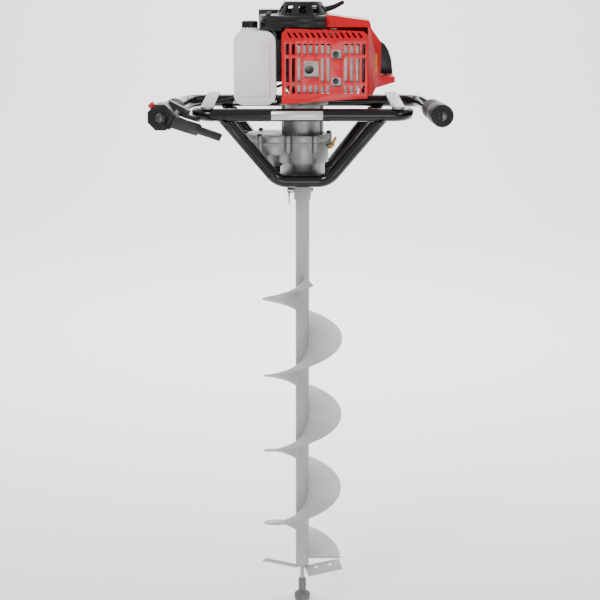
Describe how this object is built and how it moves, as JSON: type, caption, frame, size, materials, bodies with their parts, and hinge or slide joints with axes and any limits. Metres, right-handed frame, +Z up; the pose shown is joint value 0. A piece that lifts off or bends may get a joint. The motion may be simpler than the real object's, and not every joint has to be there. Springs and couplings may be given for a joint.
{
  "type": "ice fishing auger",
  "caption": "Petrol powered one-man ice auger: tube frame with two grips, small engine, reduction gearbox and a detachable screw with a centring point",
  "frame": {"origin": "on the drive axis, at the bottom of the cap on the screw's point", "axes": "+Z up along the drive axis, +X towards the spark plug, -Y towards the muffler guard and the grips' ends"},
  "size_m": [0.5131, 0.3227, 1.1591],
  "materials": {
    "frame_paint": "gloss",
    "strap_steel": "satin",
    "label_sheet": "brushed",
    "cast_alloy": "cast",
    "machined_steel": "machined",
    "bolt_steel": "zinc plated",
    "brass_fitting": "plated",
    "clutch_lining": "matt",
    "red_plastic": "gloss",
    "black_plastic": "satin",
    "black_rubber": "matt",
    "white_tank": "translucent",
    "white_ceramic": "glazed",
    "filter_foam": "foam",
    "grey_paint": "satin",
    "rope_white": "braided",
    "red_button": "gloss",
    "grey_rubber": "matt"
  },
  "bodies": {
    "root": {"front_bar": "frame_paint", "handle_bar": "frame_paint", "side_straps": "strap_steel", "front_hoop": "frame_paint", "rear_hoop": "frame_paint", "base_plate": "frame_paint", "label_plate": "label_sheet", "lower_gear_case": "cast_alloy", "upper_gear_case": "cast_alloy", "bearings": "machined_steel", "grease_fitting": "brass_fitting", "bolts": "bolt_steel", "clutch_housing": "cast_alloy", "crankcase_lower": "cast_alloy", "crankcase_upper": "cast_alloy", "engine_cylinder": "cast_alloy", "spark_plug": "white_ceramic", "ignition_coil": "black_plastic", "muffler": "machined_steel", "muffler_cover": "red_plastic", "cylinder_cover": "red_plastic", "carburettor": "cast_alloy", "air_filter_cover": "black_plastic", "air_filter_element": "filter_foam", "fan_shroud": "black_plastic", "recoil_housing": "black_plastic", "fuel_tank": "white_tank", "tank_bracket": "black_plastic", "fuel_line": "black_rubber", "left_grip": "black_rubber", "right_grip": "black_rubber", "throttle_housing": "black_plastic", "throttle_cable": "black_rubber"},
    "auger": {"output_gear": "machined_steel", "output_shaft": "machined_steel", "auger_tube": "grey_paint", "auger_flight": "grey_paint", "cutting_blades": "grey_paint"},
    "lay": {"layshaft": "machined_steel", "layshaft_gear": "machined_steel"},
    "drum": {"clutch_drum": "machined_steel"},
    "crank": {"crankshaft": "machined_steel", "clutch_hub": "machined_steel", "flywheel": "cast_alloy"},
    "shoe_left": {"clutch_shoe_left": "clutch_lining"},
    "shoe_right": {"clutch_shoe_right": "clutch_lining"},
    "piston_set": {"piston": "cast_alloy", "connecting_rod": "machined_steel"},
    "pulley": {"starter_pulley": "machined_steel"},
    "starter_handle": {"starter_grip": "black_plastic", "starter_rope": "rope_white"},
    "throttle_lever_body": {"throttle_lever": "black_plastic"},
    "safety_lever_body": {"safety_lever": "black_plastic"},
    "stop_button_body": {"stop_button": "red_button"},
    "throttle_arm_body": {"throttle_arm": "brass_fitting"},
    "choke": {"choke_lever": "black_plastic"},
    "cap": {"fuel_cap": "black_plastic"},
    "hitch": {"hitch_pin": "machined_steel"},
    "plug_boot": {"plug_cap": "black_rubber"},
    "point_cap": {"tip_cap": "grey_rubber"}
  },
  "joints": [
    {"name": "auger_spin", "type": "hinge", "parent": "root", "child": "auger", "pos_m": [0, 0, 0.85], "axis": [0, 0, 1], "continuous": true},
    {"name": "layshaft_spin", "type": "hinge", "parent": "root", "child": "lay", "pos_m": [-0.0525, 0, 0.9], "axis": [0, 0, 1], "continuous": true},
    {"name": "drum_spin", "type": "hinge", "parent": "root", "child": "drum", "pos_m": [0, 0, 0.93], "axis": [0, 0, 1], "continuous": true},
    {"name": "crank_spin", "type": "hinge", "parent": "root", "child": "crank", "pos_m": [0, 0, 1.05], "axis": [0, 0, 1], "continuous": true},
    {"name": "shoe_out", "type": "slide", "parent": "crank", "child": "shoe_left", "axis": [-1, 0, 0], "range_m": [0, 0.001], "stiffness_N_per_m": 3000},
    {"name": "other_shoe_out", "type": "slide", "parent": "crank", "child": "shoe_right", "axis": [1, 0, 0], "range_m": [0, 0.001], "stiffness_N_per_m": 3000},
    {"name": "piston_stroke", "type": "slide", "parent": "root", "child": "piston_set", "axis": [-1, 0, 0], "range_m": [0, 0.034]},
    {"name": "starter_pull", "type": "slide", "parent": "root", "child": "starter_handle", "axis": [0, 1, 0], "range_m": [0, 0.6], "deforming": ["starter_rope"]},
    {"name": "pulley_spin", "type": "hinge", "parent": "root", "child": "pulley", "pos_m": [0, 0, 1.14], "axis": [0, 0, 1], "range_deg": [0, 1150]},
    {"name": "throttle_squeeze", "type": "hinge", "parent": "root", "child": "throttle_lever_body", "pos_m": [-0.222, -0.181, 0.971], "axis": [0.454, 0, 0.891], "range_deg": [0, 22], "stiffness_Nm_per_rad": 0.6},
    {"name": "safety_press", "type": "hinge", "parent": "root", "child": "safety_lever_body", "pos_m": [-0.208, -0.15, 0.964], "axis": [0.454, 0, 0.891], "range_deg": [0, 14], "stiffness_Nm_per_rad": 0.4},
    {"name": "stop_press", "type": "slide", "parent": "root", "child": "stop_button_body", "axis": [0.7055, -0.0474, -0.7071], "range_m": [0, 0.003], "stiffness_N_per_m": 900},
    {"name": "throttle_arm_turn", "type": "hinge", "parent": "root", "child": "throttle_arm_body", "pos_m": [0.06, 0.076, 1.06], "axis": [0, 0, 1], "range_deg": [-44, 0]},
    {"name": "choke_turn", "type": "hinge", "parent": "root", "child": "choke", "pos_m": [0.076, 0.085, 1.058], "axis": [1, 0, 0], "range_deg": [0, 50]},
    {"name": "fuel_cap_turn", "type": "hinge", "parent": "root", "child": "cap", "pos_m": [-0.093, -0.014, 1.118], "axis": [0, 0, 1], "range_deg": [0, 540]},
    {"name": "hitch_pin_pull", "type": "slide", "parent": "auger", "child": "hitch", "axis": [-1, 0, 0], "range_m": [0, 0.05]},
    {"name": "plug_boot_pull", "type": "slide", "parent": "root", "child": "plug_boot", "axis": [1, 0, 0], "range_m": [0, 0.03]},
    {"name": "point_cap_pull", "type": "slide", "parent": "auger", "child": "point_cap", "axis": [0, 0, -1], "range_m": [0, 0.03]}
  ],
  "couplings": [
    {"joint": "layshaft_spin", "follows": "auger_spin", "ratio": -4},
    {"joint": "drum_spin", "follows": "auger_spin", "ratio": 24},
    {"joint": "other_shoe_out", "follows": "shoe_out", "ratio": 1},
    {"joint": "pulley_spin", "follows": "starter_pull", "rad_per_m": 33.333},
    {"joint": "throttle_arm_turn", "follows": "throttle_squeeze", "ratio": -2}
  ]
}
